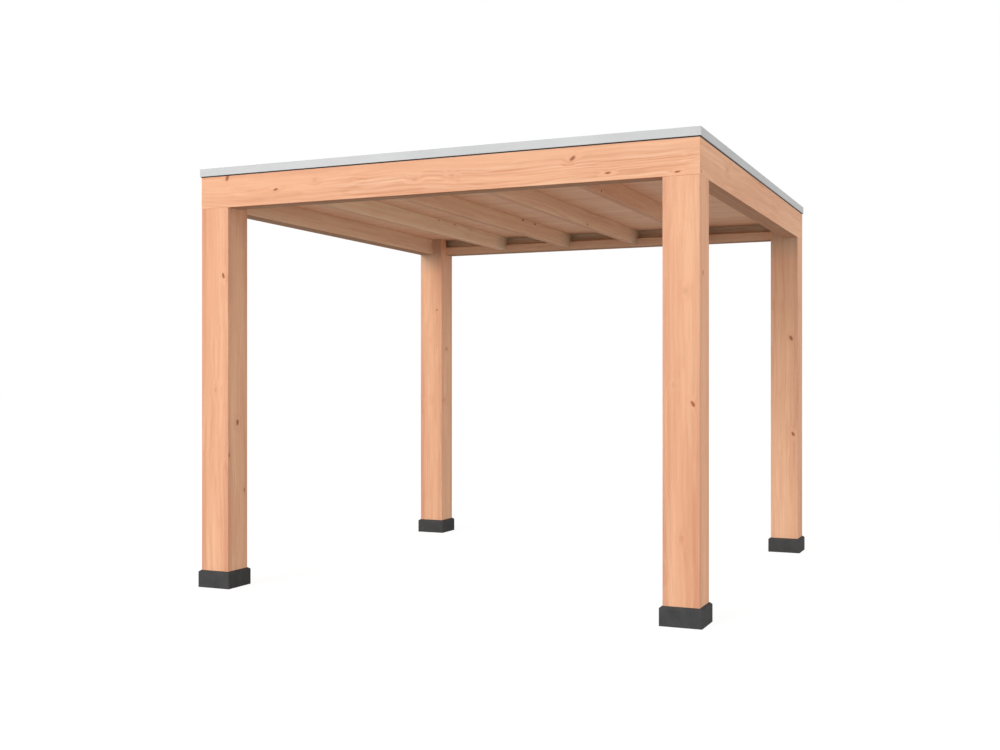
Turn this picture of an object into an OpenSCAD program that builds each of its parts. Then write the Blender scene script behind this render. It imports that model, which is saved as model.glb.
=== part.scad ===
// Flat-roofed timber patio cover, open on all four sides.
// Four notched posts on concrete feet carry a mitred ring of boards. Bearers and ledgers
// inside the ring hold notched joists, and on those lie the roof boards and a sheet membrane
// that is turned over the ring and held there by metal edge trim.
// Left to right is X, front to back is Y, and the floor is at Z = 0 under the middle.

/* [Frame] */
// Width over the ring boards, left to right
frame_w = 3000; // [2400:10:3600]
// Depth over the ring boards, front to back
frame_d = 3000; // [2400:10:3600]
// Height of the clear way under the ring boards
clear_h = 2235; // [2000:5:2600]

/* [Feet] */
// Side of a square concrete foot
foot_w = 220; // [218:1:300]
// Height of a foot
foot_h = 100; // [60:1:200]
// Width of the slope round the top of a foot
foot_slope_w = 13; // [3:1:15]
// Height of the slope round the top of a foot
foot_slope_h = 10; // [3:1:30]
// Bevel on the upright edges of a foot
foot_bevel = 4; // [2:1:10]

/* [Posts] */
// Side of a square post
post_w = 190; // [150:1:194]
// Radius on the long edges of a post
post_edge = 4; // [1:0.5:10]

/* [Ring] */
// Thickness of a ring board
board_t = 45; // [30:1:60]
// Height of a ring board
board_h = 220; // [190:1:260]
// Thickness of the bearers inside the left and right boards
bearer_t = 63; // [45:1:80]
// Height of the bearers
bearer_h = 120; // [110:1:135]
// Thickness of the ledgers inside the front and back boards
ledger_t = 63; // [45:1:80]
// Height of the ledgers
ledger_h = 60; // [40:1:80]
// Radius on the long edges of boards, bearers, ledgers and joists
timber_edge = 3; // [1:0.5:6]

/* [Roof] */
// Spacing of the joists, centre to centre
joist_pitch = 540; // [400:5:650]
// Width of a joist
joist_w = 45; // [35:1:70]
// Depth of a joist
joist_h = 105; // [85:1:110]
// Thickness of the roof boards
deck_t = 18; // [12:1:28]
// Thickness of the membrane
membrane_t = 1.5; // [1:0.1:3]
// Strip of membrane that shows below the edge trim
membrane_show = 6; // [3:1:20]

/* [Edge trim] */
// Height of the outer face of the trim
trim_face = 45; // [35:1:60]
// Height of the trim above the membrane that it is fixed on
trim_rise = 14.5; // [10:0.5:25]
// Thickness of the metal
trim_t = 2; // [1.5:0.1:3]
// Clear space between the membrane and the back of the outer face
trim_gap = 3.5; // [2:0.1:6]
// Width of the flange that is fixed on the ring
trim_flange = 40; // [25:1:45]
// Lip turned in along the top of the outer face
trim_lip = 8; // [4:0.5:14]
// Drip edge turned in along the bottom of the outer face
trim_drip = 1.5; // [1:0.1:1.8]

/* [Hidden] */
$fn = 24;
// Overrun that carries a cut clear past the faces it opens
cut = 1;

half_w = frame_w / 2;
half_d = frame_d / 2;
// Space inside the ring boards
inside_w = frame_w - 2 * board_t;
inside_d = frame_d - 2 * board_t;
// Space between the bearers and between the ledgers
bay_w = inside_w - 2 * bearer_t;
bay_d = inside_d - 2 * ledger_t;

board_top = clear_h + board_h;
ledger_top = clear_h + ledger_h;
deck_z = clear_h + bearer_h;
deck_top = deck_z + deck_t;
joist_z = deck_z - joist_h;
membrane_top = board_top + membrane_t;

trim_top = membrane_top + trim_rise;
trim_z = trim_top - trim_face;
hem_z = trim_z - membrane_show;
// Back and front of the trim's outer face, measured out from the ring board
trim_back = membrane_t + trim_gap;
trim_front = trim_back + trim_t;

timber = [0.90, 0.67, 0.50];
inner_timber = [0.80, 0.59, 0.44];
concrete = [0.28, 0.28, 0.28];
sheet = [0.12, 0.12, 0.12];
metal = [0.82, 0.82, 0.83];

// Rectangle with its corner at the origin and all four corners rounded
module eased(w, h, r) {
    translate([r, 0]) square([w - 2 * r, h]);
    translate([0, r]) square([w, h - 2 * r]);
    for (x = [r, w - r]) {
        for (y = [r, h - r]) {
            translate([x, y]) circle(r);
        }
    }
}

// Block centred on the origin in plan, between two heights
module block(w, d, z0, z1) {
    translate([-w / 2, -d / 2, z0]) cube([w, d, z1 - z0]);
}

// Upright band that follows a rectangle, measured over its outside
module band(w, d, wall, z0, z1) {
    difference() {
        block(w, d, z0, z1);
        block(w - 2 * wall, d - 2 * wall, z0 - cut, z1 + cut);
    }
}

// Length along X with the child as its section, which lies in Y and Z
module run_x(length) {
    translate([-length / 2, 0, 0]) rotate([90, 0, 90]) linear_extrude(length) children();
}

// Turn the front side onto one of the four sides: 0 front, 1 right, 2 back, 3 left
module to_side(side) {
    rotate(90 * side) children();
}

// Length of a side, and how far its outer face lies from the middle
function side_length(side) = side % 2 == 0 ? frame_w : frame_d;
function side_offset(side) = side % 2 == 0 ? half_d : half_w;

// Plan of the front side between its two mitres, from so far inside to so far outside
module mitre_plan(length, offset, inside, outside) {
    polygon([
        [-length / 2 - outside, -offset - outside],
        [length / 2 + outside, -offset - outside],
        [length / 2 - inside, -offset + inside],
        [-length / 2 + inside, -offset + inside]
    ]);
}

// Copy what is drawn for the back right corner to another corner
module to_corner(x, y) {
    mirror([x < 0 ? 1 : 0, 0, 0]) mirror([0, y < 0 ? 1 : 0, 0]) children();
}

// Section of a foot: square below, with sloped shoulders at the top
module foot_section() {
    polygon([
        [-foot_w / 2, 0],
        [foot_w / 2, 0],
        [foot_w / 2, foot_h - foot_slope_h],
        [foot_w / 2 - foot_slope_w, foot_h],
        [-foot_w / 2 + foot_slope_w, foot_h],
        [-foot_w / 2, foot_h - foot_slope_h]
    ]);
}

// Plan of a foot: a square with bevelled corners
module foot_plan() {
    intersection() {
        square(foot_w, center = true);
        rotate(45) square(foot_w * sqrt(2) - foot_bevel * sqrt(2), center = true);
    }
}

module foot(x, y) {
    color(concrete)
    to_corner(x, y)
    translate([half_w - post_w / 2, half_d - post_w / 2, 0])
    intersection() {
        linear_extrude(foot_h) foot_plan();
        run_x(foot_w) foot_section();
        rotate(90) run_x(foot_w) foot_section();
    }
}

// Post whose head is notched on its two outer sides, so that the ring stands on the
// shoulder and the inner quarter carries on up to the roof boards
module post(x, y) {
    color(timber)
    to_corner(x, y)
    difference() {
        translate([half_w - post_w, half_d - post_w, foot_h])
            linear_extrude(deck_z - foot_h) eased(post_w, post_w, post_edge);
        translate([half_w - board_t - bearer_t, half_d - post_w - cut, clear_h])
            cube([board_t + bearer_t + cut, post_w + 2 * cut, bearer_h + cut]);
        translate([half_w - post_w - cut, half_d - board_t - ledger_t, clear_h])
            cube([post_w + 2 * cut, board_t + ledger_t + cut, bearer_h + cut]);
    }
}

// Ring board, mitred at both ends
module ring_board(side) {
    length = side_length(side);
    offset = side_offset(side);
    color(timber)
    to_side(side)
    intersection() {
        run_x(length) translate([-offset, clear_h]) eased(board_t, board_h, timber_edge);
        translate([0, 0, clear_h]) linear_extrude(board_h) mitre_plan(length, offset, board_t, 0);
    }
}

// Bearer along the inside of the left or right board
module bearer(side) {
    color(inner_timber)
    to_side(side)
    run_x(inside_d) translate([-half_w + board_t, clear_h]) eased(bearer_t, bearer_h, timber_edge);
}

// Ledger along the inside of the front or back board, between the bearers
module ledger(side) {
    color(inner_timber)
    to_side(side)
    run_x(bay_w) translate([-half_d + board_t, clear_h]) eased(ledger_t, ledger_h, timber_edge);
}

// Joist from front to back, notched over both ledgers so that its ends reach the ring boards
module joist(place) {
    color(inner_timber)
    translate([(place - 1.5) * joist_pitch, 0, 0])
    difference() {
        rotate(90) run_x(inside_d) translate([-joist_w / 2, joist_z]) eased(joist_w, joist_h, timber_edge);
        for (end = [0, 1]) {
            rotate(180 * end)
                translate([-joist_w / 2 - cut, bay_d / 2, joist_z - cut])
                cube([joist_w + 2 * cut, ledger_t + cut, ledger_top - joist_z + cut]);
        }
    }
}

module roof_deck() {
    color(inner_timber) block(inside_w, inside_d, deck_z, deck_top);
}

// Sheet over the roof boards, up the inside of the ring, across its top and down its outside
module roof_membrane() {
    over_w = frame_w + 2 * membrane_t;
    over_d = frame_d + 2 * membrane_t;
    color(sheet)
    union() {
        block(inside_w, inside_d, deck_top, deck_top + membrane_t);
        band(inside_w, inside_d, membrane_t, deck_top, membrane_top);
        band(over_w, over_d, board_t + 2 * membrane_t, board_top, membrane_top);
        band(over_w, over_d, membrane_t, hem_z, membrane_top);
    }
}

// Section of the edge trim: outer face, fixing flange, top lip and drip edge
module trim_section() {
    polygon([
        [-trim_front, trim_z],
        [-trim_front, trim_top],
        [trim_lip - trim_back, trim_top],
        [trim_lip - trim_back, trim_top - trim_t],
        [-trim_back, trim_top - trim_t],
        [-trim_back, membrane_top + trim_t],
        [trim_flange - trim_back, membrane_top + trim_t],
        [trim_flange - trim_back, membrane_top],
        [-trim_back, membrane_top],
        [-trim_back, trim_z + trim_t],
        [trim_drip - trim_back, trim_z + trim_t],
        [trim_drip - trim_back, trim_z]
    ]);
}

// Length of edge trim, mitred at both ends
module edge_trim(side) {
    length = side_length(side);
    offset = side_offset(side);
    color(metal)
    to_side(side)
    intersection() {
        run_x(length + 2 * trim_front) translate([-offset, 0]) trim_section();
        translate([0, 0, trim_z])
            linear_extrude(trim_face) mitre_plan(length, offset, trim_flange, trim_front);
    }
}

foot(-1, -1);  // foot_front_left
foot(1, -1);  // foot_front_right
foot(-1, 1);  // foot_back_left
foot(1, 1);  // foot_back_right
post(-1, -1);  // post_front_left
post(1, -1);  // post_front_right
post(-1, 1);  // post_back_left
post(1, 1);  // post_back_right
ring_board(0);  // front_board
ring_board(1);  // right_board
ring_board(2);  // back_board
ring_board(3);  // left_board
bearer(3);  // left_bearer
bearer(1);  // right_bearer
ledger(0);  // front_ledger
ledger(2);  // back_ledger
joist(0);  // joist_1
joist(1);  // joist_2
joist(2);  // joist_3
joist(3);  // joist_4
roof_deck();
roof_membrane();
edge_trim(0);  // front_trim
edge_trim(1);  // right_trim
edge_trim(2);  // back_trim
edge_trim(3);  // left_trim
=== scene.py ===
"""Looks of the flat-roofed timber patio cover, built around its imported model. All lengths are in metres."""
import math

import bmesh
import bpy
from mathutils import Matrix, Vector


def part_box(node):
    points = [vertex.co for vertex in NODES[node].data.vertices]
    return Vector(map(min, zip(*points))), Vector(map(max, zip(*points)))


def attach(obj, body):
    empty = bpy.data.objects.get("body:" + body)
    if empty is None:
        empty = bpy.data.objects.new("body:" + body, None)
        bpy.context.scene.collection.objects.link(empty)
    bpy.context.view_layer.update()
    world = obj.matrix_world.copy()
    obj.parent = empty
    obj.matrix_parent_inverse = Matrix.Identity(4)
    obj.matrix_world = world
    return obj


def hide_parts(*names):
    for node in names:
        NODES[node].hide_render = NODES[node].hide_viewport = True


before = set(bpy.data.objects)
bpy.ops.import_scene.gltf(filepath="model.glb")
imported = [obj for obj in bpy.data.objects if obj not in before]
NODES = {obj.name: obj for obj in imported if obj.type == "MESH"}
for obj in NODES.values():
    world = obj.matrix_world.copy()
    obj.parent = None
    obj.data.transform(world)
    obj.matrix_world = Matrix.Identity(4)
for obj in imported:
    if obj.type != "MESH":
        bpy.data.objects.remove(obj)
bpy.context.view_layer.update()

QUARTER = math.pi / 2
WHITE = (1.0, 1.0, 1.0, 1.0)

# Camera, fitted to the edges of the cover in a picture 1000 wide and 750 high
CAMERA_PLACE = (2.9407, -7.2481, 1.2212)
CAMERA_TURN = math.radians(23.609)
CAMERA_LENS_MM = 42.82
CAMERA_SENSOR_MM = 36.0
CAMERA_SHIFT_UP = 0.00545
CAMERA_FAR = 200.0

# Light: a wide soft box in front and to the left, a weak one on the right, and an even sky
KEY_PLACE = (-11.5, -28.0, 10.0)
KEY_AIM = (0.0, 0.0, 1.3)
KEY_SIZE = 18.0
KEY_POWER = 6500.0
FILL_PLACE = (26.0, -2.0, 4.6)
FILL_AIM = (0.0, 0.0, 1.4)
FILL_SIZE = 9.0
FILL_POWER = 1700.0
SKY = 0.50

# Floor: half its width, how pale it is to the light, and the glow and shade of its white look
FLOOR_HALF = 60.0
FLOOR_PALE = 0.56
FLOOR_GLOW = 0.91
FLOOR_SHADE = 0.18

# Colours of the wood, linear
EARLY_WOOD = (0.865, 0.472, 0.284, 1.0)
LATE_WOOD = (0.66, 0.290, 0.150, 1.0)
RED_WOOD = (0.815, 0.405, 0.238, 1.0)
PALE_WOOD = (0.88, 0.500, 0.305, 1.0)
THREAD_WOOD = (0.93, 0.575, 0.375, 1.0)
KNOT_WOOD = (0.33, 0.105, 0.042, 1.0)

# Tints that the wood is multiplied by: painted light under the roof, painted grey shade, a ruddier tone, and
# painted shade
PAINTED_LIGHT_TINT = (1.12, 1.52, 1.76, 1.0)
PAINTED_GREY_SHADE_TINT = (0.86, 1.28, 1.55, 1.0)
RUDDY_TINT = (0.90, 0.835, 0.845, 1.0)
PAINTED_SHADE_TINT = (0.50, 0.43, 0.385, 1.0)

# Sway of the grain: repeats per metre along the grain and across it, and reach
SLOW_SWAY = (0.9, 2.4, 0.10)
QUICK_SWAY = (3.4, 6.0, 0.022)

# Patterns in the wood: repeats per metre along the grain and across it, detail, roughness, distortion
PATTERNS = {
    "waver": (5.0, 30.0, 3.0, 0.5, 0.0),
    "patches": (1.4, 12.0, 2.0, 0.5, 0.0),
    "bands": (0.45, 10.0, 2.0, 0.55, 0.3),
    "tint": (0.5, 6.0, 2.0, 0.5, 0.0),
    "streaks": (1.5, 52.0, 3.0, 0.6, 0.0),
    "threads": (1.3, 88.0, 2.0, 0.6, 0.0),
    "fibres": (22.0, 900.0, 2.0, 0.5, 0.0),
    "resin": (40.0, 1500.0, 0.0, 0.5, 0.0),
}

# Year rings: width, taper along the grain, waver, and how they darken and end
RING_WIDE = 0.0031
RING_TAPER = 0.006
RING_WAVER = 0.006
RING_RISE = 2.2
RING_END = (1.0, 0.90)
RING_LEAST = 0.55

# Shares of the patterns: levels of the pattern where a share starts and ends, and the two shares
PATCH_SPAN = (0.36, 0.58, 0.35, 1.0)
TINT_SPAN = (0.35, 0.70, 0.0, 1.0)
BAND_SPAN = (0.30, 0.70, 0.35, 0.85)
DARK_THREAD_SPAN = (0.52, 0.66, 0.0, 0.75)
PALE_THREAD_SPAN = (0.49, 0.36, 0.0, 1.0)
RUDDY_SPAN = (0.62, 0.40, 0.35, 1.0)
RESIN_SPAN = (0.70, 0.80, 0.0, 0.25)
SWIRL_RED_SPAN = (0.0, 0.010, 0.0, 0.30)
WORN_SPAN = (0.0, 0.6, 0.30, 0.0)

# Lighter and darker wood: the most that each pattern brings, and how strongly each colour follows
BAND_TONE = 0.16
STREAK_TONE = 0.17
FIBRE_TONE = 0.05
RING_TONE = 0.17
TONE_BY_COLOR = (0.75, 1.15, 1.25)

# Sheen and relief of the wood: roughness by fibres, and what late wood, knots and faces with painted shade
# add
FIBRE_ROUGH_SPAN = (0.2, 0.8, 0.54, 0.66)
LATE_ROUGH = -0.08
KNOT_ROUGH = -0.12
ROUGH_WITH_PAINTED_SHADE = 0.28
LATE_HEIGHT = 0.5
FIBRE_HEIGHT = 0.35
KNOT_HEIGHT = 0.8
WOOD_BUMP = (0.35, 0.0006)
WOOD_EDGE = 0.004
WOOD_SPECULAR = 0.10

# Edges: samples of the rounding, and the turns at which an edge starts and is full
EDGE_SAMPLES = 4
EDGE_TURN = (0.995, 0.80)

# Axes of a timber, named by the axis its grain follows: along, across, across
GRAIN_AXES = {"x": (0, 1, 2), "y": (1, 0, 2), "z": (2, 0, 1)}

# Faces of a timber: the axis they look along, and whether they lie at the low or the high end
FACES = {"front": (1, 0), "back": (1, 1), "left": (0, 0), "right": (0, 1)}

# How far a surface has to turn to an axis before it starts to count as that face, and fully counts
FACE_TURN = (0.6, 0.9)

# Knots by timber: face, place along X or Y, height, length along the grain, width, tilt, strength
DARK, MEDIUM, FAINT = 1.0, 0.65, 0.20
KNOTS = {
    "front_board": [
        ("front", -1.316, 2.408, 0.018, 0.030, 25, DARK),
        ("front", -0.980, 2.319, 0.025, 0.010, -12, DARK),
        ("front", -0.715, 2.358, 0.016, 0.012, 0, FAINT),
        ("front", -0.080, 2.315, 0.018, 0.012, 0, FAINT),
        ("front", 0.145, 2.320, 0.016, 0.012, 0, FAINT),
        ("front", 0.835, 2.362, 0.027, 0.014, -38, DARK),
        ("front", 1.025, 2.274, 0.026, 0.009, -5, DARK),
        ("front", 1.387, 2.255, 0.025, 0.008, -6, DARK),
    ],
    "right_board": [
        ("right", -1.473, 2.252, 0.016, 0.012, 0, MEDIUM),
        ("right", -0.900, 2.350, 0.022, 0.014, 0, FAINT),
        ("right", 0.420, 2.330, 0.020, 0.014, 0, FAINT),
    ],
    "back_board": [
        ("back", -0.860, 2.400, 0.022, 0.014, 15, DARK),
        ("back", 0.240, 2.380, 0.020, 0.013, 0, MEDIUM),
        ("back", 1.080, 2.262, 0.022, 0.014, -20, DARK),
    ],
    "left_board": [
        ("left", -0.940, 2.370, 0.022, 0.014, 10, DARK),
        ("left", 0.160, 2.290, 0.020, 0.012, 0, MEDIUM),
        ("left", 0.980, 2.390, 0.022, 0.014, 25, MEDIUM),
    ],
    "post_front_left": [
        ("front", -1.345, 1.837, 0.026, 0.014, -18, DARK),
        ("front", -1.397, 1.165, 0.018, 0.013, 0, FAINT),
        ("right", -1.409, 0.973, 0.027, 0.018, 0, DARK),
        ("right", -1.340, 0.566, 0.022, 0.014, 0, MEDIUM),
        ("right", -1.489, 0.784, 0.024, 0.012, 0, MEDIUM),
        ("left", -1.420, 1.420, 0.022, 0.016, 0, DARK),
        ("back", -1.380, 0.720, 0.020, 0.014, 0, MEDIUM),
    ],
    "post_front_right": [
        ("front", 1.428, 1.663, 0.018, 0.014, 0, FAINT),
        ("front", 1.368, 1.199, 0.016, 0.012, 0, FAINT),
        ("front", 1.465, 1.106, 0.025, 0.012, -28, DARK),
        ("front", 1.408, 0.440, 0.018, 0.014, 0, FAINT),
        ("right", -1.437, 1.756, 0.026, 0.022, 0, MEDIUM),
        ("back", 1.400, 1.310, 0.020, 0.014, 0, MEDIUM),
        ("left", -1.390, 0.860, 0.022, 0.014, 0, DARK),
    ],
    "post_back_left": [
        ("front", -1.353, 1.788, 0.018, 0.014, 0, MEDIUM),
        ("right", 1.396, 1.476, 0.018, 0.026, 0, MEDIUM),
        ("right", 1.351, 1.064, 0.018, 0.026, 0, FAINT),
        ("back", -1.420, 1.540, 0.022, 0.015, 0, DARK),
        ("left", 1.380, 0.960, 0.020, 0.014, 0, DARK),
    ],
    "post_back_right": [
        ("front", 1.453, 1.522, 0.028, 0.017, -30, DARK),
        ("front", 1.467, 0.842, 0.028, 0.016, -22, DARK),
        ("right", 1.363, 1.758, 0.018, 0.026, 0, FAINT),
        ("back", 1.390, 1.120, 0.022, 0.015, 0, DARK),
        ("left", 1.440, 0.640, 0.020, 0.014, 0, MEDIUM),
    ],
    "joist_1": [
        ("right", 0.215, 2.344, 0.022, 0.010, 0, MEDIUM),
        ("right", 0.472, 2.344, 0.022, 0.010, 0, MEDIUM),
        ("right", 0.745, 2.344, 0.020, 0.010, 0, FAINT),
    ],
    "joist_2": [
        ("right", 0.448, 2.343, 0.026, 0.011, 0, DARK),
        ("right", 0.673, 2.343, 0.026, 0.011, 0, DARK),
    ],
    "joist_3": [
        ("right", 0.270, 2.262, 0.014, 0.013, 0, DARK),
        ("left", -1.150, 2.310, 0.018, 0.013, 0, DARK),
    ],
    "joist_4": [
        ("right", -1.035, 2.262, 0.014, 0.013, 0, DARK),
        ("right", -0.410, 2.272, 0.016, 0.012, 0, MEDIUM),
        ("left", 0.300, 2.310, 0.018, 0.013, 0, MEDIUM),
    ],
}

# Look of a knot by strength: growth of its stain beyond the core, and where the stain ends and is full
KNOT_LOOK = {DARK: (1.30, 1.75, 0.95), MEDIUM: (1.20, 1.80, 0.85), FAINT: (1.90, 2.10, 0.45)}

# Knots: depth in the wood, darkness of the core, unevenness of the outline, and how the grain parts
KNOT_DEPTH = 0.080
KNOT_CORE = 0.9
KNOT_WOBBLE = 0.8
KNOT_WOBBLE_REPEATS = 90.0
KNOT_WOBBLE_DETAIL = 2.0
PARTING_SPAN = (5.5, 0.4, 0.0, 0.012)

# Timbers: grain axis, place of the pith across the timber, shift along the pattern, strength of figure
TIMBERS = {
    "front_board": ("x", (0.070, -0.170), 5.9, 1.0),
    "right_board": ("y", (-0.080, 0.190), 11.7, 0.45),
    "back_board": ("x", (-0.070, 0.160), 17.3, 0.8),
    "left_board": ("y", (0.080, -0.180), 23.9, 0.8),
    "left_bearer": ("y", (0.060, 0.080), 31.1, 0.35),
    "right_bearer": ("y", (-0.060, 0.075), 37.7, 0.35),
    "front_ledger": ("x", (0.070, 0.060), 41.3, 0.35),
    "back_ledger": ("x", (-0.070, 0.065), 47.9, 0.35),
    "joist_1": ("y", (0.050, 0.070), 53.3, 0.35),
    "joist_2": ("y", (-0.060, 0.060), 59.1, 0.35),
    "joist_3": ("y", (0.055, -0.075), 67.7, 0.35),
    "joist_4": ("y", (-0.050, 0.080), 71.9, 0.35),
    "post_front_left": ("z", (0.150, 0.130), 79.3, 0.3),
    "post_front_right": ("z", (-0.140, 0.150), 83.7, 0.3),
    "post_back_left": ("z", (0.130, -0.160), 89.1, 0.3),
    "post_back_right": ("z", (-0.150, -0.140), 97.3, 0.3),
}
FEET = ("foot_front_left", "foot_front_right", "foot_back_left", "foot_back_right")
POSTS = ("post_front_left", "post_front_right", "post_back_left", "post_back_right")
LEDGERS = ("front_ledger", "back_ledger")
JOISTS = ("joist_1", "joist_2", "joist_3", "joist_4")

# Timbers under the roof with painted light, paler and greyer than the rest, except on their undersides
PAINTED_LIGHT_UNDER_ROOF = {"left_bearer": 0.85, "right_bearer": 0.7,
         "joist_1": 1.0, "joist_2": 0.75, "joist_3": 0.85, "joist_4": 0.45}

# Timbers that are ruddier or lighter all over
RUDDY = {"front_board": 0.4}
LIFTED = {"joist_1": 0.13}

# Faces of posts with painted light, paler and lighter: axis, way, share of the painted light, and its lift
PAINTED_LIGHT_FACE = {"post_front_left": (0, 1.0, 0.10, 0.12), "post_back_left": (0, 1.0, 0.05, 0.15),
             "post_back_right": (1, -1.0, 0.15, 0.03)}

# Undersides with painted shade, which are also rougher: share of the painted shade, and of the painted light,
# by timber
PAINTED_SHADE_BELOW = {"front_board": (0.80, 0.0), "right_board": (0.63, 0.18), "back_board": (0.80, 0.0),
              "left_board": (0.95, 0.60), "left_bearer": (0.95, 0.60), "right_bearer": (0.63, 0.18),
              "front_ledger": (0.74, 0.0), "back_ledger": (0.85, 0.0),
              "joist_1": (0.28, 0.0), "joist_2": (0.28, 0.0), "joist_3": (0.28, 0.0),
              "joist_4": (0.28, 0.0)}

# Ring boards: the way their inner face looks, which takes painted grey shade
INWARD = {"front_board": (1, 1.0), "right_board": (0, -1.0),
          "back_board": (1, -1.0), "left_board": (0, 1.0)}

# Ledgers: share of the painted grey shade of wood inside the ring
LEDGER_PAINTED_GREY_SHADE = 0.5

# Painted shade on posts, darker and greyer toward the ring on the face that looks inward along Y: length of
# the fade, shares at its end
HEAD_FADE = 0.16
HEAD_PAINTED_GREY_SHADE = 0.5
HEAD_PAINTED_SHADE = 0.33

# Painted shade on joists, darker and greyer toward their ends: length of the fade, shares at its end
JOIST_END_LONG = 0.22
JOIST_END_PAINTED_SHADE = 0.45
JOIST_END_PAINTED_GREY_SHADE = 0.35

# Posts grow ruddier toward their edges: distance from the middle where that starts and where it is full
POST_RUDDY = (0.048, 0.080)

# Part of a timber that is more figured than the rest: limits and least share, along the grain and up
FIGURED = {"front_board": ((-0.75, -0.35, 0.35), (0.045, -0.020, 0.25))}

# Roof boards: number of boards, joint between them, bevel of the joint, tongue and groove
BOARD_COUNT = 20
BOARD_JOINT = 0.0008
BOARD_BEVEL = 0.0025
TONGUE_LONG = 0.005
TONGUE_THICK = 0.005
TONGUE_SLACK = 0.0005

# Wood of the roof boards: height of the pith above the boards and how it varies, steps from board to board
BOARD_PITH = 0.09
BOARD_PITH_VARIES = 0.03
BOARD_STEP = 0.731
BOARD_SHIFT = 5.37
BOARD_FIGURE = 0.3
# Share of painted light on the roof boards, paler and greyer like the other timbers under the roof
BOARD_PAINTED_LIGHT = 0.25

# Membrane: thickness, strip below the trim, bends where it turns, cells, steps of a bend, ripples
SHEET_THICK = 0.0015
SHEET_SHOW = 0.006
SHEET_COVE = 0.014
SHEET_CREST = 0.004
SHEET_CELLS = 96
SHEET_ARC_STEPS = 5
SHEET_RIPPLE = 0.0016

# Ripples: repeats, bend, repeats of the bend and its start; then slant, calm margin and shares
RIPPLE_ALONG_X = (5.1, 1.7, 2.3, 0.0)
RIPPLE_ALONG_Y = (3.7, 1.1, 2.9, 0.6)
RIPPLE_FINE = (23.0, 2.0, 4.1, 0.0)
RIPPLE_SLANT = 0.35
RIPPLE_CALM = 0.25
EVEN_SHARE = 0.6
WAVE_SHARE = 0.5
FINE_SHARE = 0.25

# Corner folds of the membrane: width, thickness, share of the width at the toe, lift of the toe, clearance
FOLD_WIDE = 0.075
FOLD_THICK = 0.0012
FOLD_TOE = 0.35
FOLD_LIFT = 0.006
FOLD_CLEAR = 0.001

# Screws that hold the flange of the trim
TRIM_METAL = 0.002
SCREW_PITCH = 0.30
SCREW_RADIUS = 0.0048
SCREW_RISE = 0.0026
SCREW_INSET = 0.022
SCREW_SIDES = 20
SCREW_RINGS = 5
DRIVE_RADIUS = 0.0021
DRIVE_DEPTH = 0.0014
DRIVE_TAPER = 0.96

# Smooth shading stops at turns sharper than this
SHARP_TURN = math.radians(40.0)

# Levels between which most of a noise lies
NOISE_RANGE = (0.3, 0.7)

# Concrete of the feet: colours, repeats per metre, levels and shares, sheen and relief
CONCRETE_DARK = (0.055, 0.055, 0.056, 1.0)
CONCRETE_PALE = (0.076, 0.076, 0.076, 1.0)
CONCRETE_GRIT = (0.092, 0.091, 0.090, 1.0)
CONCRETE_PIT = (0.025, 0.025, 0.025, 1.0)
CONCRETE_WORN = (0.14, 0.14, 0.14, 1.0)
CLOUD_NOISE = (14.0, 4.0, 0.6)
GRIT_NOISE = (420.0, 3.0, 0.65)
PIT_REPEATS = 130.0
PIT_GROUP_REPEATS = 45.0
PIT_SPAN = (0.22, 0.10)
PIT_GROUP_SPAN = (0.52, 0.62)
PIT_SHARE = 0.7
GRIT_SPAN = (0.45, 0.75, 0.0, 0.35)
GRIT_HEIGHT = 0.5
CONCRETE_EDGE = 0.004
CONCRETE_WORN_SHARE = 0.35
CONCRETE_ROUGH = (0.78, 0.92)
CONCRETE_BUMP = (0.5, 0.0010)
CONCRETE_SPECULAR = 0.08

# Aluminium of the trim: colours, repeats per metre, levels and shares, sheen and relief
METAL_DARK = (0.482, 0.486, 0.490)
METAL_PALE = (0.532, 0.534, 0.536)
METAL_LINE = (0.450, 0.454, 0.458)
METAL_SPECK = (0.36, 0.36, 0.36)
METAL_BRIGHT = (0.66, 0.66, 0.66)
# Painted light: the side trims are lighter than the front and back trims
SIDE_TRIM_PAINTED_LIGHT = 1.08
LINE_REPEATS_ALONG = 1.5
LINE_REPEATS_ACROSS = 700.0
LINE_DETAIL = 2.0
LINE_SPAN = (0.35, 0.75, 0.0, 0.25)
LINE_ROUGH_SPAN = (0.25, 0.75, 0.50, 0.64)
METAL_CLOUD_NOISE = (3.0, 3.0)
SPECK_NOISE = (260.0, 2.0, 0.7)
SPECK_SPAN = (0.66, 0.74, 0.0, 0.25)
METAL_EDGE = 0.0012
METAL_BRIGHT_SHARE = 0.5
METAL_BUMP = (0.15, 0.0003)
METAL_METALLIC = 0.12

# Rubber of the membrane: colours, repeats per metre, levels and shares, sheen and relief
RUBBER_DARK = (0.026, 0.025, 0.025, 1.0)
RUBBER_PALE = (0.046, 0.045, 0.044, 1.0)
RUBBER_DUST = (0.075, 0.073, 0.070, 1.0)
BLOOM_NOISE = (2.4, 4.0, 0.6)
DUST_NOISE = (60.0, 4.0, 0.65)
CREASE_NOISE = (900.0, 2.0)
BLOOM_SPAN = (0.35, 0.70)
DUST_SPAN = (0.50, 0.80, 0.0, 0.45)
CREASE_HEIGHT = 0.3
RUBBER_ROUGH = (0.55, 0.75)
RUBBER_BUMP = (0.25, 0.0008)
RUBBER_SPECULAR = 0.35

# Steel of the screws: colours, turning marks, sheen and relief
STEEL_DARK = (0.50, 0.50, 0.49, 1.0)
STEEL_PALE = (0.64, 0.64, 0.63, 1.0)
MARK_NOISE = (1500.0, 2.0)
STEEL_ROUGH = (0.28, 0.42)
STEEL_BUMP = (0.1, 0.0002)


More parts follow.
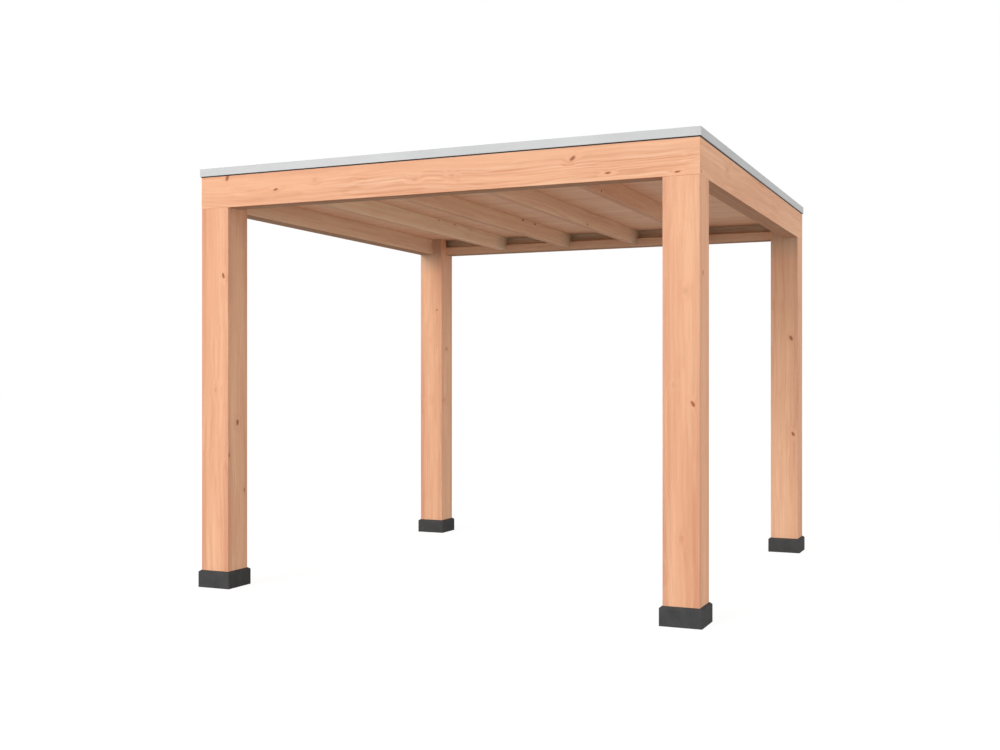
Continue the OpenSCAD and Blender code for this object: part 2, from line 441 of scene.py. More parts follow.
class Graph:
    """Short calls that add nodes to one node tree and join them."""

    def __init__(self, tree):
        self.tree = tree

    def put(self, socket, value):
        if isinstance(value, bpy.types.NodeSocket):
            self.tree.links.new(value, socket)
        else:
            socket.default_value = value

    def node(self, kind, values=None, **settings):
        made = self.tree.nodes.new(kind)
        for name, value in settings.items():
            setattr(made, name, value)
        for key, value in (values or {}).items():
            self.put(made.inputs[key], value)
        return made

    def math(self, operation, a, b=0.0, clamp=False):
        return self.node("ShaderNodeMath", {0: a, 1: b}, operation=operation, use_clamp=clamp).outputs[0]

    def vector(self, operation, a, b=(0.0, 0.0, 0.0)):
        made = self.node("ShaderNodeVectorMath", {0: a, 1: b}, operation=operation)
        return made.outputs["Value" if operation in ("LENGTH", "DOT_PRODUCT") else "Vector"]

    def noise(self, place, scale, detail=2.0, roughness=0.5, distortion=0.0):
        values = {"Vector": place, "Scale": scale, "Detail": detail, "Roughness": roughness,
                  "Distortion": distortion}
        return self.node("ShaderNodeTexNoise", values).outputs["Fac"]

    def span(self, value, low, high, to_low=0.0, to_high=1.0, smooth=False):
        kind = "SMOOTHSTEP" if smooth else "LINEAR"
        values = {"Value": value, "From Min": low, "From Max": high, "To Min": to_low, "To Max": to_high}
        return self.node("ShaderNodeMapRange", values, interpolation_type=kind).outputs["Result"]

    def mix(self, share, a, b, blend="MIX"):
        made = self.node("ShaderNodeMix", data_type="RGBA", blend_type=blend)
        self.put(made.inputs[0], share)
        self.put(made.inputs[6], a)
        self.put(made.inputs[7], b)
        return made.outputs[2]

    def tinted(self, share, color, tint):
        return self.mix(share, color, self.mix(1.0, color, tint, "MULTIPLY"))

    def split(self, vector):
        return self.node("ShaderNodeSeparateXYZ", {0: vector}).outputs

    def join(self, x, y, z):
        return self.node("ShaderNodeCombineXYZ", {0: x, 1: y, 2: z}).outputs[0]

    def bump(self, height, strength, distance):
        values = {"Strength": strength, "Distance": distance, "Height": height}
        return self.node("ShaderNodeBump", values).outputs["Normal"]

    def seat(self):
        return self.node("ShaderNodeTexCoord").outputs["Object"]

    def normal(self):
        return self.node("ShaderNodeNewGeometry").outputs["Normal"]


def new_material(name):
    """An empty material with a Principled shader, its graph and that shader."""
    material = bpy.data.materials.new(name)
    material.use_nodes = True
    tree = material.node_tree
    tree.nodes.clear()
    graph = Graph(tree)
    shader = graph.node("ShaderNodeBsdfPrincipled")
    graph.node("ShaderNodeOutputMaterial", {"Surface": shader.outputs["BSDF"]})
    return material, graph, shader


def scaled(color, level):
    """A colour made lighter or darker."""
    return tuple(level * part for part in color) + (1.0,)


def edge_share(graph, radius):
    """How sharply the surface turns within a radius: 0 on a flat, up to 1 on an edge."""
    rounded = graph.node("ShaderNodeBevel", {"Radius": radius}, samples=EDGE_SAMPLES).outputs["Normal"]
    return graph.span(graph.vector("DOT_PRODUCT", rounded, graph.normal()), *EDGE_TURN)


def make_wood_group():
    """Planed softwood as a solid: rings round a pith, streaks and bands along the grain, fibres, knots, and
    painted light and shade.
    """
    tree = bpy.data.node_groups.new("planed_softwood", "ShaderNodeTree")
    face = tree.interface
    face.new_socket("Place", in_out="INPUT", socket_type="NodeSocketVector")
    for name in ("Shift", "Figure", "Knot", "Swirl", "Ruddy", "Edge", "PaintedShade", "PaintedLight", "Inside", "Lift"):
        face.new_socket(name, in_out="INPUT", socket_type="NodeSocketFloat")
    face.new_socket("Color", in_out="OUTPUT", socket_type="NodeSocketColor")
    face.new_socket("Roughness", in_out="OUTPUT", socket_type="NodeSocketFloat")
    face.new_socket("Height", in_out="OUTPUT", socket_type="NodeSocketFloat")
    g = Graph(tree)
    given = g.node("NodeGroupInput").outputs
    shift = g.join(given["Shift"], given["Shift"], given["Shift"])
    start = g.vector("ADD", given["Place"], shift)

    def stretched(place, along, across):
        return g.vector("MULTIPLY", place, (along, across, across))

    def pattern(name, place):
        along, across, detail, roughness, distortion = PATTERNS[name]
        return g.noise(stretched(place, along, across), 1.0, detail, roughness, distortion)

    def sway(along, across, reach):
        """Sideways push that varies slowly along the grain."""
        values = {"Vector": stretched(start, along, across), "Scale": 1.0, "Detail": 1.0}
        push = g.node("ShaderNodeTexNoise", values).outputs["Color"]
        return g.vector("MULTIPLY", g.vector("SUBTRACT", push, (0.5, 0.5, 0.5)), (0.0, reach, reach))

    # The grain wanders slowly, waves a little and parts round the knots
    bent = g.vector("ADD", given["Place"], sway(*SLOW_SWAY))
    bent = g.vector("ADD", bent, sway(*QUICK_SWAY))
    bent = g.vector("ADD", bent, g.join(0.0, given["Swirl"], given["Swirl"]))
    flow = g.vector("ADD", bent, shift)

    # Rings darken slowly and end sharply, and the figure comes and goes
    radius = g.vector("LENGTH", stretched(bent, RING_TAPER, 1.0))
    radius = g.math("ADD", radius, g.math("MULTIPLY", pattern("waver", start), RING_WAVER))
    turn = g.math("FRACT", g.math("DIVIDE", radius, RING_WIDE))
    late = g.math("MULTIPLY", g.math("POWER", turn, RING_RISE), g.span(turn, *RING_END))
    figure = g.math("MULTIPLY", g.span(pattern("patches", flow), *PATCH_SPAN), given["Figure"])
    rings = g.math("MULTIPLY", late, g.span(given["Figure"], 0.0, 1.0, RING_LEAST, 1.0))
    late = g.math("MULTIPLY", late, figure)

    # Broad bands, long streaks, dark and pale threads, fine fibres and short resin lines
    bands = pattern("bands", flow)
    streaks = pattern("streaks", flow)
    threads = pattern("threads", flow)
    fibres = pattern("fibres", start)
    dark_threads = g.math("MULTIPLY", g.span(threads, *DARK_THREAD_SPAN), figure)
    pale_threads = g.math("MULTIPLY", g.span(threads, *PALE_THREAD_SPAN), figure)
    color = g.mix(g.span(pattern("tint", start), *TINT_SPAN), PALE_WOOD, RED_WOOD)
    color = g.mix(g.span(bands, *BAND_SPAN), color, EARLY_WOOD)
    color = g.mix(dark_threads, color, LATE_WOOD)
    color = g.mix(pale_threads, color, THREAD_WOOD)

    # Lighter and darker wood
    tone = g.math("ADD", g.span(bands, 0.0, 1.0, -BAND_TONE, BAND_TONE),
                  g.span(streaks, 0.0, 1.0, -STREAK_TONE, STREAK_TONE))
    tone = g.math("ADD", tone, g.span(fibres, 0.0, 1.0, -FIBRE_TONE, FIBRE_TONE))
    tone = g.math("SUBTRACT", tone, g.math("MULTIPLY", rings, RING_TONE))
    tone = g.math("ADD", tone, given["Lift"])
    shade = g.join(*(g.math("MULTIPLY", tone, part) for part in TONE_BY_COLOR))
    color = g.mix(1.0, color, g.vector("ADD", shade, (1.0, 1.0, 1.0)), "MULTIPLY")
    ruddy = g.math("MULTIPLY", given["Ruddy"], g.span(bands, *RUDDY_SPAN))
    color = g.tinted(ruddy, color, RUDDY_TINT)
    color = g.mix(g.span(pattern("resin", start), *RESIN_SPAN), color, LATE_WOOD)

    # A knot is dark in the middle and reddens the wood that flows round it
    color = g.mix(g.span(given["Swirl"], *SWIRL_RED_SPAN), color, RED_WOOD)
    color = g.mix(given["Knot"], color, KNOT_WOOD)

    # Worn edges, which faces with painted shade lack, then painted light, painted grey shade and painted
    # shade
    worn = g.math("MULTIPLY", given["Edge"], g.span(given["PaintedShade"], *WORN_SPAN))
    color = g.mix(worn, color, PALE_WOOD)
    color = g.tinted(given["PaintedLight"], color, PAINTED_LIGHT_TINT)
    color = g.tinted(given["Inside"], color, PAINTED_GREY_SHADE_TINT)
    color = g.tinted(given["PaintedShade"], color, PAINTED_SHADE_TINT)

    rough = g.math("ADD", g.span(fibres, *FIBRE_ROUGH_SPAN), g.math("MULTIPLY", late, LATE_ROUGH))
    rough = g.math("ADD", rough, g.math("MULTIPLY", given["Knot"], KNOT_ROUGH))
    rough = g.math("ADD", rough, g.math("MULTIPLY", given["PaintedShade"], ROUGH_WITH_PAINTED_SHADE), clamp=True)
    height = g.math("ADD", g.math("MULTIPLY", late, LATE_HEIGHT), g.math("MULTIPLY", fibres, FIBRE_HEIGHT))
    height = g.math("SUBTRACT", height, g.math("MULTIPLY", given["Knot"], KNOT_HEIGHT))
    g.node("NodeGroupOutput", {"Color": color, "Roughness": rough, "Height": height})
    return tree


WOOD = make_wood_group()


def finish_wood(graph, shader, values):
    """Joins the wood group, with its inputs, to a shader."""
    wood = graph.node("ShaderNodeGroup", node_tree=WOOD)
    graph.put(wood.inputs["Edge"], edge_share(graph, WOOD_EDGE))
    for name, value in values.items():
        graph.put(wood.inputs[name], value)
    graph.put(shader.inputs["Base Color"], wood.outputs["Color"])
    graph.put(shader.inputs["Roughness"], wood.outputs["Roughness"])
    graph.put(shader.inputs["Normal"], graph.bump(wood.outputs["Height"], *WOOD_BUMP))
    shader.inputs["Specular IOR Level"].default_value = WOOD_SPECULAR


def knot_fields(graph, place, node, axes, middle):
    """Strength of the knots of a timber, and how far they push its grain aside."""
    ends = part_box(node)
    knot, swirl = 0.0, 0.0
    repeats = (KNOT_WOBBLE_REPEATS,) * 3
    wobble = graph.noise(graph.vector("MULTIPLY", place, repeats), 1.0, KNOT_WOBBLE_DETAIL)
    for face, level, height, long, wide, tilt, strength in KNOTS.get(node, []):
        normal_axis, end = FACES[face]
        point = [level, level, height]
        point[normal_axis] = ends[end][normal_axis]
        local = [point[a] - middle[a] for a in axes]
        depth_at = axes.index(normal_axis)
        grow, stain_end, stain_full = KNOT_LOOK[strength]
        size = [grow * long / 2, grow * wide / 2, grow * wide / 2]
        size[depth_at] = KNOT_DEPTH
        turn = [0.0, 0.0, 0.0]
        turn[depth_at] = math.radians(tilt)
        values = {"Vector": place, "Location": local, "Rotation": turn, "Scale": size}
        near = graph.node("ShaderNodeMapping", values, vector_type="TEXTURE").outputs[0]
        apart = graph.vector("LENGTH", near)
        apart = graph.math("ADD", apart, graph.math("MULTIPLY", wobble, KNOT_WOBBLE))
        core = graph.span(apart, stain_end, stain_full, 0.0, strength * KNOT_CORE, True)
        push = graph.span(apart, *PARTING_SPAN, True)
        knot = core if knot == 0.0 else graph.math("MAXIMUM", knot, core)
        swirl = push if swirl == 0.0 else graph.math("MAXIMUM", swirl, push)
    return knot, swirl


def timber_material(node):
    """Wood for one timber, cut from its own place in its own tree."""
    axis, pith, shift, figure = TIMBERS[node]
    axes = GRAIN_AXES[axis]
    low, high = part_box(node)
    middle = (low + high) / 2
    material, graph, shader = new_material("wood_" + node)
    parts = graph.split(graph.vector("SUBTRACT", graph.seat(), tuple(middle)))
    place = graph.join(*(parts[a] for a in axes))
    knot, swirl = knot_fields(graph, place, node, axes, middle)
    along, *across = graph.split(place)
    facing = graph.split(graph.normal())
    values = {"Place": graph.vector("SUBTRACT", place, (0.0, pith[0], pith[1])), "Shift": shift,
              "Figure": figure, "Knot": knot, "Swirl": swirl}

    def on_face(look, way, elsewhere, there):
        """One share on the face that looks a given way along an axis, and another elsewhere."""
        return graph.span(graph.math("MULTIPLY", facing[look], way), *FACE_TURN, elsewhere, there)

    if node in FIGURED:
        (plain_end, full, least_along), (high_plain, low_full, least_up) = FIGURED[node]
        zone = graph.math("MULTIPLY", graph.span(along, plain_end, full, least_along, 1.0, True),
                          graph.span(across[1], high_plain, low_full, least_up, 1.0, True))
        values["Figure"] = graph.math("MULTIPLY", zone, figure)
    if node in POSTS:
        nearer = graph.math("MINIMUM", *(graph.math("ABSOLUTE", side) for side in across))
        values["Ruddy"] = graph.span(nearer, *POST_RUDDY, 0.0, 1.0, True)
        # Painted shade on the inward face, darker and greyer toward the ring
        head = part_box("front_board")[0].z - middle.z
        inward = on_face(1, -math.copysign(1.0, middle.y), 0.0, 1.0)
        near_ring = graph.math("MULTIPLY", graph.span(along, head - HEAD_FADE, head), inward)
        values["Inside"] = graph.math("MULTIPLY", near_ring, HEAD_PAINTED_GREY_SHADE)
        values["PaintedShade"] = graph.math("MULTIPLY", near_ring, HEAD_PAINTED_SHADE)
    if node in RUDDY:
        values["Ruddy"] = RUDDY[node]
    if node in LIFTED:
        values["Lift"] = LIFTED[node]
    if node in PAINTED_LIGHT_FACE:
        # Painted light on one face of the post, paler and lighter
        look, way, share, lift = PAINTED_LIGHT_FACE[node]
        values["PaintedLight"] = on_face(look, way, 0.0, share)
        values["Lift"] = on_face(look, way, 0.0, lift)
    # Painted shade on the undersides, and painted light there and, for the inner timbers, elsewhere
    if node in PAINTED_SHADE_BELOW:
        under_shade, pale = PAINTED_SHADE_BELOW[node]
        values["PaintedShade"] = on_face(2, -1.0, 0.0, under_shade)
        values["PaintedLight"] = on_face(2, -1.0, PAINTED_LIGHT_UNDER_ROOF.get(node, 0.0), pale)
    if node in JOISTS:
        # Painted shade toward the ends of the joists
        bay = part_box("back_ledger")[0].y
        end = graph.span(graph.math("ABSOLUTE", along), bay - JOIST_END_LONG, bay, 0.0, 1.0)
        values["PaintedShade"] = graph.math("MAXIMUM", values["PaintedShade"], graph.math("MULTIPLY", end, JOIST_END_PAINTED_SHADE))
        values["Inside"] = graph.math("MULTIPLY", end, JOIST_END_PAINTED_GREY_SHADE)
    # Painted grey shade on the ledgers
    if node in LEDGERS:
        values["Inside"] = LEDGER_PAINTED_GREY_SHADE
    # Painted grey shade on the inner faces of the ring boards
    if node in INWARD:
        look, way = INWARD[node]
        values["Inside"] = on_face(look, way, 0.0, 1.0)
    finish_wood(graph, shader, values)
    return material


def roof_board_material():
    """Wood for the roof boards: each board takes its own piece of the pattern by its number."""
    material, graph, shader = new_material("wood_roof_boards")
    number = graph.node("ShaderNodeAttribute", attribute_name="board_number").outputs["Fac"]
    pith = (0.0, 0.0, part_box("roof_deck")[1].z + BOARD_PITH)
    parts = graph.split(graph.vector("SUBTRACT", graph.seat(), pith))
    step = graph.math("MULTIPLY", number, BOARD_STEP)
    along = graph.math("ADD", parts[0], step)
    across = graph.math("ADD", parts[1], graph.math("MULTIPLY", number, -board_pitch()))
    up = graph.math("ADD", parts[2], graph.math("MULTIPLY", graph.math("FRACT", step), BOARD_PITH_VARIES))
    shift = graph.math("MULTIPLY", number, BOARD_SHIFT)
    # The boards under the roof take painted light, paler and greyer
    finish_wood(graph, shader, {"Place": graph.join(along, across, up), "Shift": shift,
                                "Figure": BOARD_FIGURE, "PaintedLight": BOARD_PAINTED_LIGHT})
    return material


def concrete_material():
    """Anthracite cast concrete: mottled, with small air holes and paler worn edges."""
    material, graph, shader = new_material("concrete_anthracite")
    seat = graph.seat()
    cloud = graph.noise(seat, *CLOUD_NOISE)
    grit = graph.noise(seat, *GRIT_NOISE)
    holes = graph.node("ShaderNodeTexVoronoi", {"Vector": seat, "Scale": PIT_REPEATS}).outputs["Distance"]
    groups = graph.noise(seat, PIT_GROUP_REPEATS)
    pit = graph.math("MULTIPLY", graph.span(holes, *PIT_SPAN), graph.span(groups, *PIT_GROUP_SPAN))
    worn = graph.math("MULTIPLY", edge_share(graph, CONCRETE_EDGE), CONCRETE_WORN_SHARE)
    color = graph.mix(graph.span(cloud, *NOISE_RANGE), CONCRETE_DARK, CONCRETE_PALE)
    color = graph.mix(graph.span(grit, *GRIT_SPAN), color, CONCRETE_GRIT)
    color = graph.mix(graph.math("MULTIPLY", pit, PIT_SHARE), color, CONCRETE_PIT)
    color = graph.mix(worn, color, CONCRETE_WORN)
    height = graph.math("SUBTRACT", graph.math("MULTIPLY", grit, GRIT_HEIGHT), pit)
    graph.put(shader.inputs["Base Color"], color)
    graph.put(shader.inputs["Roughness"], graph.span(grit, *NOISE_RANGE, *CONCRETE_ROUGH))
    graph.put(shader.inputs["Normal"], graph.bump(height, *CONCRETE_BUMP))
    shader.inputs["Specular IOR Level"].default_value = CONCRETE_SPECULAR
    return material


def aluminium_material(name, along, level):
    """Satin extruded aluminium with die lines that run along the length. Its colours are scaled by a level,
    which paints light on the side trims.
    """
    material, graph, shader = new_material(name)
    seat = graph.seat()
    stretch = [LINE_REPEATS_ACROSS] * 3
    stretch[along] = LINE_REPEATS_ALONG
    lines = graph.noise(graph.vector("MULTIPLY", seat, tuple(stretch)), 1.0, LINE_DETAIL)
    cloud = graph.noise(seat, *METAL_CLOUD_NOISE)
    specks = graph.noise(seat, *SPECK_NOISE)
    bright = graph.math("MULTIPLY", edge_share(graph, METAL_EDGE), METAL_BRIGHT_SHARE)
    color = graph.mix(graph.span(cloud, *NOISE_RANGE), scaled(METAL_DARK, level), scaled(METAL_PALE, level))
    color = graph.mix(graph.span(lines, *LINE_SPAN), color, scaled(METAL_LINE, level))
    color = graph.mix(graph.span(specks, *SPECK_SPAN), color, scaled(METAL_SPECK, level))
    color = graph.mix(bright, color, scaled(METAL_BRIGHT, level))
    graph.put(shader.inputs["Base Color"], color)
    graph.put(shader.inputs["Roughness"], graph.span(lines, *LINE_ROUGH_SPAN))
    graph.put(shader.inputs["Normal"], graph.bump(lines, *METAL_BUMP))
    shader.inputs["Metallic"].default_value = METAL_METALLIC
    return material


def rubber_material():
    """Black sheet rubber, matt, with a faint chalky bloom and fine creases."""
    material, graph, shader = new_material("sheet_rubber")
    seat = graph.seat()
    bloom = graph.noise(seat, *BLOOM_NOISE)
    dust = graph.noise(seat, *DUST_NOISE)
    creases = graph.noise(seat, *CREASE_NOISE)
    color = graph.mix(graph.span(bloom, *BLOOM_SPAN), RUBBER_DARK, RUBBER_PALE)
    color = graph.mix(graph.span(dust, *DUST_SPAN), color, RUBBER_DUST)
    height = graph.math("ADD", graph.math("MULTIPLY", creases, CREASE_HEIGHT), dust)
    graph.put(shader.inputs["Base Color"], color)
    graph.put(shader.inputs["Roughness"], graph.span(bloom, *NOISE_RANGE, *RUBBER_ROUGH))
    graph.put(shader.inputs["Normal"], graph.bump(height, *RUBBER_BUMP))
    shader.inputs["Specular IOR Level"].default_value = RUBBER_SPECULAR
    return material


def steel_material():
    """Stainless steel of the screw heads, lightly turned."""
    material, graph, shader = new_material("screw_steel")
    marks = graph.noise(graph.seat(), *MARK_NOISE)
    color = graph.mix(graph.span(marks, *NOISE_RANGE), STEEL_DARK, STEEL_PALE)
    graph.put(shader.inputs["Base Color"], color)
    graph.put(shader.inputs["Roughness"], graph.span(marks, *NOISE_RANGE, *STEEL_ROUGH))
    graph.put(shader.inputs["Normal"], graph.bump(marks, *STEEL_BUMP))
    shader.inputs["Metallic"].default_value = 1.0
    return material


def clothe(thing, material):
    """Gives an object one material."""
    thing.data.materials.clear()
    thing.data.materials.append(material)


def new_piece(name, mesh_maker, material):
    """A mesh piece in the row frame, which stands on the one fixed body."""
    mesh = bpy.data.meshes.new(name)
    shape = bmesh.new()
    mesh_maker(shape)
    bmesh.ops.recalc_face_normals(shape, faces=shape.faces)
    shape.to_mesh(mesh)
    shape.free()
    piece = bpy.data.objects.new(name, mesh)
    bpy.context.scene.collection.objects.link(piece)
    clothe(piece, material)
    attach(piece, "root")
    return piece


def smooth(piece):
    """Smooth shading across gentle turns, sharp at the rest."""
    piece.data.shade_smooth()
    piece.data.set_sharp_from_angle(angle=SHARP_TURN)


def quarter_turned(x, y, turns):
    """A point after some quarter turns about the middle of the cover."""
    angle = turns * QUARTER
    return x * math.cos(angle) - y * math.sin(angle), x * math.sin(angle) + y * math.cos(angle)


def close_sides(shape, start, end):
    """Faces between two like rings of points. Gives back those faces."""
    following = range(1, len(start))
    pairs = zip(range(len(start)), [*following, 0])
    return [shape.faces.new((start[i], start[j], end[j], end[i])) for i, j in pairs]


def board_pitch():
    """Width of a roof board with its joint."""
    low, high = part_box("roof_deck")
    return (high.y - low.y) / BOARD_COUNT


def board_section(thick, wide, first, last):
    """Outline across one roof board, in Y and Z: a groove at the low side and a tongue at the high side."""
    slot_low = thick / 2 - TONGUE_THICK / 2
    slot_high = thick / 2 + TONGUE_THICK / 2
    half_joint = BOARD_JOINT / 2
    left = 0.0 if first else half_joint
    right = wide if last else wide - half_joint
    outline = [(left + BOARD_BEVEL, 0.0), (right - BOARD_BEVEL, 0.0), (right, BOARD_BEVEL)]
    if not last:
        tip = right + TONGUE_LONG
        outline += [(right, slot_low), (tip, slot_low), (tip, slot_high), (right, slot_high)]
    outline += [(right, thick), (left, thick)]
    if not first:
        end = left + TONGUE_LONG + TONGUE_SLACK
        low_side = slot_low - TONGUE_SLACK
        high_side = slot_high + TONGUE_SLACK
        outline += [(left, high_side), (end, high_side), (end, low_side), (left, low_side)]
    outline += [(left, BOARD_BEVEL)]
    return outline


def roof_boards(shape):
    """Tongued and grooved boards side by side from front to back, each along X."""
    low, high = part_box("roof_deck")
    number = shape.faces.layers.float.new("board_number")
    for n in range(BOARD_COUNT):
        outline = board_section(high.z - low.z, board_pitch(), n == 0, n == BOARD_COUNT - 1)
        start = low.y + n * board_pitch()
        ends = [[shape.verts.new((x, start + y, low.z + z)) for y, z in outline] for x in (low.x, high.x)]
        faces = [shape.faces.new(ends[0]), shape.faces.new(reversed(ends[1]))]
        faces += close_sides(shape, *ends)
        for face in faces:
            face[number] = n


def arc(middle, radius, start, end):
    """Points of a round bend in the plane of distance from the edge and height."""
    steps = [start + (end - start) * k / SHEET_ARC_STEPS for k in range(SHEET_ARC_STEPS + 1)]
    return [(middle[0] + radius * math.cos(t), middle[1] + radius * math.sin(t)) for t in steps]


def sheet_profile():
    """Line of the sheet's upper side from its hem over the ring to the deck: distance in, height."""
    low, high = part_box("roof_membrane")
    deck_low, deck_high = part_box("roof_deck")
    top = high.z
    ring = deck_low.x - low.x + SHEET_THICK
    floor = deck_high.z + SHEET_THICK
    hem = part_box("front_trim")[0].z - SHEET_SHOW
    line = [(0.0, hem), (0.0, (hem + top) / 2)]
    line += arc((SHEET_CREST, top - SHEET_CREST), SHEET_CREST, 2 * QUARTER, QUARTER)
    line += arc((ring - SHEET_CREST, top - SHEET_CREST), SHEET_CREST, QUARTER, 0.0)
    line += arc((ring + SHEET_COVE, floor + SHEET_COVE), SHEET_COVE, 2 * QUARTER, 3 * QUARTER)
    return line


def bent_wave(along, beside, repeats, bend, bend_repeats, bend_start):
    """A wave along one axis whose crests bend from side to side."""
    return math.sin(repeats * along + bend * math.sin(bend_repeats * beside + bend_start))


def ripple(x, y, reach):
    """Height of the gentle ripples of the loose sheet, which die away at its edges."""
    wave = bent_wave(x, y, *RIPPLE_ALONG_X) * bent_wave(y, x, *RIPPLE_ALONG_Y)
    fine = bent_wave(x + RIPPLE_SLANT * y, y, *RIPPLE_FINE)
    calm = min(1.0, (reach - abs(x)) / RIPPLE_CALM, (reach - abs(y)) / RIPPLE_CALM)
    height = (EVEN_SHARE + WAVE_SHARE * wave + FINE_SHARE * fine) / (EVEN_SHARE + WAVE_SHARE + FINE_SHARE)
    return SHEET_RIPPLE * max(0.0, calm) * height


def roof_sheet(shape):
    """One sheet: square loops down its profile, closed by a rippled floor of square cells."""
    _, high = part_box("roof_membrane")
    line = sheet_profile()
    n = SHEET_CELLS

    def loop(inset, z):
        """Points round a square, starting at the front left corner."""
        half = high.x - inset
        step = 2 * half / n
        sides = [(-half + k * step, -half) for k in range(n)]
        sides += [(half, -half + k * step) for k in range(n)]
        sides += [(half - k * step, half) for k in range(n)]
        sides += [(-half, half - k * step) for k in range(n)]
        return [shape.verts.new((x, y, z)) for x, y in sides]

    loops = [loop(inset, z) for inset, z in line]
    for outer, inner in zip(loops, loops[1:]):
        close_sides(shape, outer, inner)
    rim = loops[-1]
    inset, z = line[-1]
    half = high.x - inset
    step = 2 * half / n
    grid = {}
    for k in range(n):
        grid[(k, 0)] = rim[k]
        grid[(n, k)] = rim[n + k]
        grid[(n - k, n)] = rim[2 * n + k]
        grid[(0, n - k)] = rim[3 * n + k]
    for a in range(1, n):
        for b in range(1, n):
            x, y = -half + a * step, -half + b * step
            grid[(a, b)] = shape.verts.new((x, y, z + ripple(x, y, half)))
    for a in range(n):
        for b in range(n):
            shape.faces.new((grid[(a, b)], grid[(a + 1, b)], grid[(a + 1, b + 1)], grid[(a, b + 1)]))


def corner_folds(shape):
    """Spare rubber at each inside corner, folded into a flat ear and glued to the upstand."""
    deck_low, deck_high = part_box("roof_deck")
    low = deck_high.z + SHEET_THICK + SHEET_COVE
    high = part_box("roof_membrane")[1].z - SHEET_CREST
    face = -deck_low.x - SHEET_THICK
    outline = [(0.0, low), (FOLD_WIDE * FOLD_TOE, low + FOLD_LIFT), (FOLD_WIDE, high), (0.0, high)]
    for turns in range(4):
        layers = []
        for off in (0.0, FOLD_THICK):
            layer = []
            for along, z in outline:
                x, y = quarter_turned(face - FOLD_CLEAR - along, face - off, turns)
                layer.append(shape.verts.new((x, y, z)))
            layers.append(layer)
        shape.faces.new(layers[0])
        shape.faces.new(reversed(layers[1]))
        close_sides(shape, *layers)


def screw_head(shape, place):
    """Low domed head with a round drive recess."""
    rings = []
    for k in range(SCREW_RINGS + 1):
        lift = k / SCREW_RINGS * QUARTER
        spread = SCREW_RADIUS - (SCREW_RADIUS - DRIVE_RADIUS) * (1 - math.cos(lift))
        rings.append((spread, SCREW_RISE * math.sin(lift)))
    rings.append((DRIVE_RADIUS * DRIVE_TAPER, SCREW_RISE - DRIVE_DEPTH))
    angles = [2 * math.pi * s / SCREW_SIDES for s in range(SCREW_SIDES)]
    loops = []
    for spread, lift in rings:
        points = [Vector((spread * math.cos(t), spread * math.sin(t), lift)) for t in angles]
        loops.append([shape.verts.new(place + point) for point in points])
    for lower, upper in zip(loops, loops[1:]):
        close_sides(shape, lower, upper)
    shape.faces.new(reversed(loops[0]))
    shape.faces.new(loops[-1])


def trim_screws(shape):
    """Screws in a row along the flange of each length of trim."""
    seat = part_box("roof_membrane")[1].z + TRIM_METAL
    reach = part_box("front_trim")[1].x - SCREW_INSET
    count = round(2 * reach / SCREW_PITCH)
    step = 2 * reach / count
    for turns in range(4):
        for k in range(count):
            x, y = quarter_turned(-reach + (k + 0.5) * step, -reach, turns)
            screw_head(shape, Vector((x, y, seat)))


def dress_frame():
    """Materials for the nodes that show as they were made."""
    for node in TIMBERS:
        clothe(NODES[node], timber_material(node))
    concrete = concrete_material()
    for node in FEET:
        clothe(NODES[node], concrete)
    along_x = aluminium_material("aluminium_along_x", 0, 1.0)
    # The side trims take a lighter copy of the aluminium, as painted light
    along_y = aluminium_material("aluminium_along_y_painted_light", 1, SIDE_TRIM_PAINTED_LIGHT)
    for node in ("front_trim", "back_trim"):
        clothe(NODES[node], along_x)
    for node in ("left_trim", "right_trim"):
        clothe(NODES[node], along_y)


def add_roof():
    """Boards, rubber sheet and screws of the roof."""
    boards = new_piece("roof_boards", roof_boards, roof_board_material())
    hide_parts("roof_deck")
    rubber = rubber_material()
    sheet = new_piece("roof_sheet", roof_sheet, rubber)
    solid = sheet.modifiers.new("thickness", "SOLIDIFY")
    solid.thickness = SHEET_THICK
    solid.offset = -1.0
    smooth(sheet)
    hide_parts("roof_membrane")
    new_piece("sheet_corner_folds", corner_folds, rubber)
    screws = new_piece("trim_screws", trim_screws, steel_material())
    smooth(screws)


def seen_directly(graph):
    """1 for what the camera, a mirror or a clear pane shows, and 0 for light on its way to a surface."""
    rays = graph.node("ShaderNodeLightPath").outputs
    shown = graph.math("MAXIMUM", rays["Is Camera Ray"], rays["Is Glossy Ray"])
    return graph.math("MAXIMUM", shown, rays["Is Transmission Ray"])


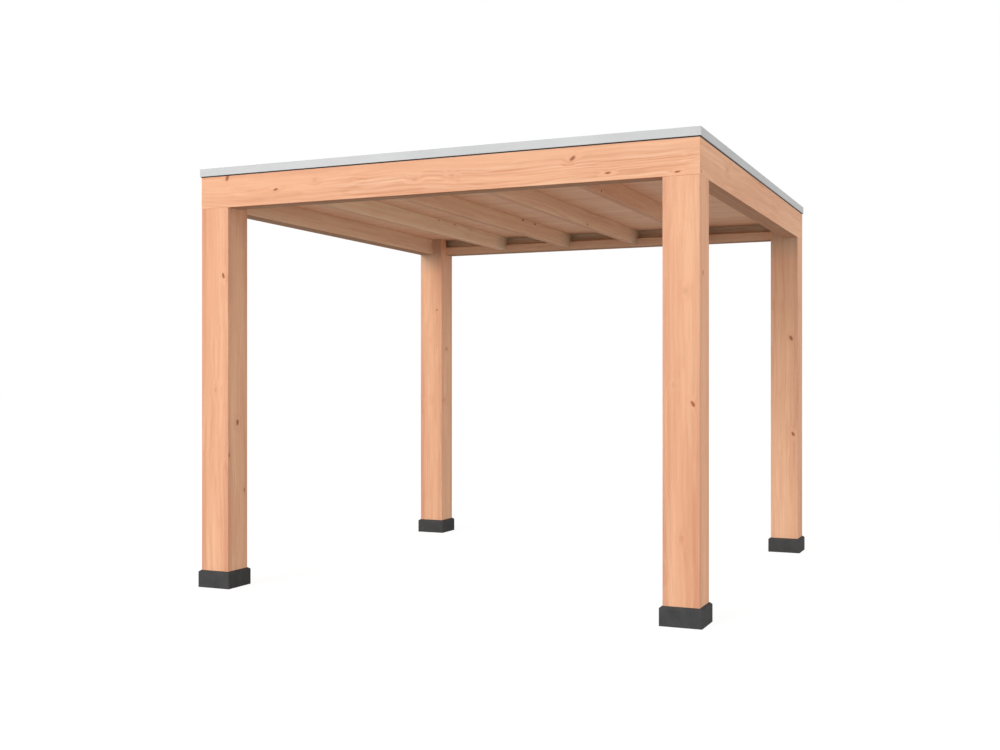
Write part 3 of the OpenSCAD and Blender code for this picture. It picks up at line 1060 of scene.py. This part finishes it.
def add_floor():
    """A pale floor that reads as white and keeps the shadow of the cover."""
    mesh = bpy.data.meshes.new("floor")
    corners = [(-FLOOR_HALF, -FLOOR_HALF, 0.0), (FLOOR_HALF, -FLOOR_HALF, 0.0),
               (FLOOR_HALF, FLOOR_HALF, 0.0), (-FLOOR_HALF, FLOOR_HALF, 0.0)]
    mesh.from_pydata(corners, [], [(0, 1, 2, 3)])
    floor = bpy.data.objects.new("floor", mesh)
    bpy.context.scene.collection.objects.link(floor)
    material = bpy.data.materials.new("pale_floor")
    material.use_nodes = True
    material.node_tree.nodes.clear()
    graph = Graph(material.node_tree)
    pale = graph.node("ShaderNodeBsdfDiffuse", {"Color": scaled(WHITE[:3], FLOOR_PALE)})
    glow = graph.node("ShaderNodeEmission", {"Color": WHITE, "Strength": FLOOR_GLOW})
    shade = graph.node("ShaderNodeBsdfDiffuse", {"Color": scaled(WHITE[:3], FLOOR_SHADE)})
    shown = graph.node("ShaderNodeAddShader", {0: glow.outputs[0], 1: shade.outputs[0]})
    sides = {0: seen_directly(graph), 1: pale.outputs[0], 2: shown.outputs[0]}
    both = graph.node("ShaderNodeMixShader", sides)
    graph.node("ShaderNodeOutputMaterial", {"Surface": both.outputs[0]})
    clothe(floor, material)


def add_sky():
    """Even light from all round, against plain white."""
    world = bpy.data.worlds.new("studio")
    bpy.context.scene.world = world
    world.use_nodes = True
    world.node_tree.nodes.clear()
    graph = Graph(world.node_tree)
    level = graph.span(seen_directly(graph), 0.0, 1.0, SKY, 1.0)
    back = graph.node("ShaderNodeBackground", {"Color": WHITE, "Strength": level})
    graph.node("ShaderNodeOutputWorld", {"Surface": back.outputs[0]})


def add_soft_box(name, place, aim, size, power):
    """A square soft light turned to a point."""
    data = bpy.data.lights.new(name, "AREA")
    data.shape = "SQUARE"
    data.size = size
    data.energy = power
    lamp = bpy.data.objects.new(name, data)
    lamp.location = place
    lamp.rotation_euler = (Vector(aim) - Vector(place)).to_track_quat("-Z", "Y").to_euler()
    lamp.visible_camera = False
    bpy.context.scene.collection.objects.link(lamp)


def add_camera():
    """Camera where the picture was taken from, level and turned to the left."""
    data = bpy.data.cameras.new("camera")
    data.lens = CAMERA_LENS_MM
    data.sensor_width = CAMERA_SENSOR_MM
    data.sensor_fit = "HORIZONTAL"
    data.shift_y = CAMERA_SHIFT_UP
    data.clip_end = CAMERA_FAR
    camera = bpy.data.objects.new("camera", data)
    camera.location = CAMERA_PLACE
    camera.rotation_euler = (QUARTER, 0.0, CAMERA_TURN)
    bpy.context.scene.collection.objects.link(camera)
    bpy.context.scene.camera = camera


dress_frame()
add_roof()
add_floor()
add_sky()
add_soft_box("key", KEY_PLACE, KEY_AIM, KEY_SIZE, KEY_POWER)
add_soft_box("fill", FILL_PLACE, FILL_AIM, FILL_SIZE, FILL_POWER)
add_camera()
bpy.context.scene.view_settings.view_transform = "Standard"
